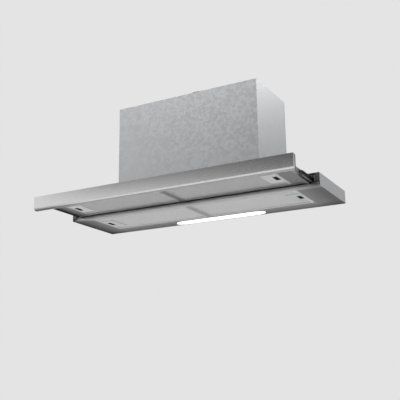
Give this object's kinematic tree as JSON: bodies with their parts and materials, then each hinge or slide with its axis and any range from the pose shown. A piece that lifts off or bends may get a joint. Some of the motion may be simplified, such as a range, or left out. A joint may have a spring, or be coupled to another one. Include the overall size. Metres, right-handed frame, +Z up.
{
  "type": "pull out range hood",
  "caption": "Flat telescopic cooker hood with a brushed front strip, a drawn-out visor, latched grease filters, a light bar along the rear and a blower box with a duct collar.",
  "frame": {"origin": "middle of the four fixing holes, on top of the flat body", "axes": "+X along the width to the right as seen from the room, +Y towards the wall, +Z up"},
  "size_m": [0.898, 0.45, 0.4262],
  "materials": {
    "strip_steel": "brushed along its length",
    "visor_steel": "brushed, satin",
    "body_steel": "brushed, satin",
    "cassette_steel": "brushed, satin",
    "filter_mesh": "expanded mesh, satin",
    "latch_plate": "satin silver",
    "latch_slider": "matt dark grey",
    "spring_steel": "bright",
    "zinc_steel": "zinc coated",
    "rail_steel": "zinc coated, satin",
    "ball_steel": "polished",
    "fan_plastic": "moulded, matt",
    "impeller_plastic": "moulded, matt",
    "motor_paint": "satin",
    "shaft_steel": "ground",
    "collar_plastic": "moulded, matt",
    "switch_plastic": "moulded, matt",
    "rocker_plastic": "moulded, semi-gloss",
    "board": "green laminate",
    "cap_plastic": "satin grey",
    "light": "milky, lit",
    "white_paint": "satin white",
    "screw_steel": "zinc coated"
  },
  "bodies": {
    "housing": {"canopy_shell": "zinc_steel", "bottom_frame": "body_steel", "blower_box": "zinc_steel", "box_lid": "zinc_steel", "scroll_housing": "fan_plastic", "motor": "motor_paint", "motor_bracket": "zinc_steel", "control_box": "collar_plastic", "control_board": "board", "cable_gland": "collar_plastic", "duct_collar": "collar_plastic", "flap_axle": "shaft_steel", "rail_outer_left": "rail_steel", "rail_outer_right": "rail_steel", "led_tray": "white_paint", "led_board": "white_paint", "led_diffuser": "light", "rear_filter_frame_left": "cassette_steel", "rear_filter_frame_right": "cassette_steel", "rear_filter_mesh_left": "filter_mesh", "rear_filter_mesh_right": "filter_mesh", "rear_latch_body_left": "latch_plate", "rear_latch_body_right": "latch_plate", "rear_latch_spring_left": "spring_steel", "rear_latch_spring_right": "spring_steel", "housing_screws": "screw_steel", "fan_screws": "screw_steel", "collar_screws": "screw_steel"},
    "visor": {"visor_frame": "visor_steel", "front_strip": "strip_steel", "strip_cap_left": "cap_plastic", "strip_cap_right": "cap_plastic", "rail_inner_left": "rail_steel", "rail_inner_right": "rail_steel", "front_filter_frame_left": "cassette_steel", "front_filter_frame_right": "cassette_steel", "front_filter_mesh_left": "filter_mesh", "front_filter_mesh_right": "filter_mesh", "front_latch_body_left": "latch_plate", "front_latch_body_right": "latch_plate", "front_latch_spring_left": "spring_steel", "front_latch_spring_right": "spring_steel", "switch_housing": "switch_plastic", "visor_screws": "screw_steel"},
    "fan": {"impeller": "impeller_plastic", "motor_shaft": "shaft_steel"},
    "front_flap": {"flap_front": "collar_plastic"},
    "rear_flap": {"flap_rear": "collar_plastic"},
    "cage_left": {"ball_cage_left": "rail_steel", "rail_balls_left": "ball_steel"},
    "cage_right": {"ball_cage_right": "rail_steel", "rail_balls_right": "ball_steel"},
    "fan_switch": {"fan_rocker": "rocker_plastic"},
    "light_switch": {"light_rocker": "rocker_plastic"},
    "rear_latch_left": {"rear_latch_slider_left": "latch_slider"},
    "rear_latch_right": {"rear_latch_slider_right": "latch_slider"},
    "front_latch_left": {"front_latch_slider_left": "latch_slider"},
    "front_latch_right": {"front_latch_slider_right": "latch_slider"}
  },
  "joints": [
    {"name": "visor_slide", "type": "slide", "parent": "housing", "child": "visor", "axis": [0, 1, 0], "range_m": [0, 0.168]},
    {"name": "cage_left_slide", "type": "slide", "parent": "housing", "child": "cage_left", "axis": [0, 1, 0], "range_m": [0, 0.084]},
    {"name": "cage_right_slide", "type": "slide", "parent": "housing", "child": "cage_right", "axis": [0, 1, 0], "range_m": [0, 0.084]},
    {"name": "rear_latch_left_slide", "type": "slide", "parent": "housing", "child": "rear_latch_left", "axis": [1, 0, 0], "range_m": [0, 0.005], "stiffness_N_per_m": 500, "springref_m": -0.004, "deforming": ["rear_latch_spring_left"]},
    {"name": "rear_latch_right_slide", "type": "slide", "parent": "housing", "child": "rear_latch_right", "axis": [-1, 0, 0], "range_m": [0, 0.005], "stiffness_N_per_m": 500, "springref_m": -0.004, "deforming": ["rear_latch_spring_right"]},
    {"name": "front_latch_left_slide", "type": "slide", "parent": "visor", "child": "front_latch_left", "axis": [1, 0, 0], "range_m": [0, 0.005], "stiffness_N_per_m": 500, "springref_m": -0.004, "deforming": ["front_latch_spring_left"]},
    {"name": "front_latch_right_slide", "type": "slide", "parent": "visor", "child": "front_latch_right", "axis": [-1, 0, 0], "range_m": [0, 0.005], "stiffness_N_per_m": 500, "springref_m": -0.004, "deforming": ["front_latch_spring_right"]},
    {"name": "fan_spin", "type": "hinge", "parent": "housing", "child": "fan", "pos_m": [0, -0.0074, 0.128], "axis": [1, 0, 0], "continuous": true},
    {"name": "front_flap_hinge", "type": "hinge", "parent": "housing", "child": "front_flap", "pos_m": [0, 0.0366, 0.3552], "axis": [-1, 0, 0], "range_deg": [0, 75]},
    {"name": "rear_flap_hinge", "type": "hinge", "parent": "housing", "child": "rear_flap", "pos_m": [0, 0.0366, 0.3552], "axis": [1, 0, 0], "range_deg": [0, 75]},
    {"name": "fan_rocker_hinge", "type": "hinge", "parent": "visor", "child": "fan_switch", "pos_m": [0.2728, -0.2952, -0.00877], "axis": [0, 1, 0], "range_deg": [-5, 5]},
    {"name": "light_rocker_hinge", "type": "hinge", "parent": "visor", "child": "light_switch", "pos_m": [0.3072, -0.2952, -0.00877], "axis": [0, 1, 0], "range_deg": [-5, 5]}
  ],
  "couplings": [
    {"joint": "cage_left_slide", "follows": "visor_slide", "ratio": 0.5},
    {"joint": "cage_right_slide", "follows": "visor_slide", "ratio": 0.5}
  ]
}
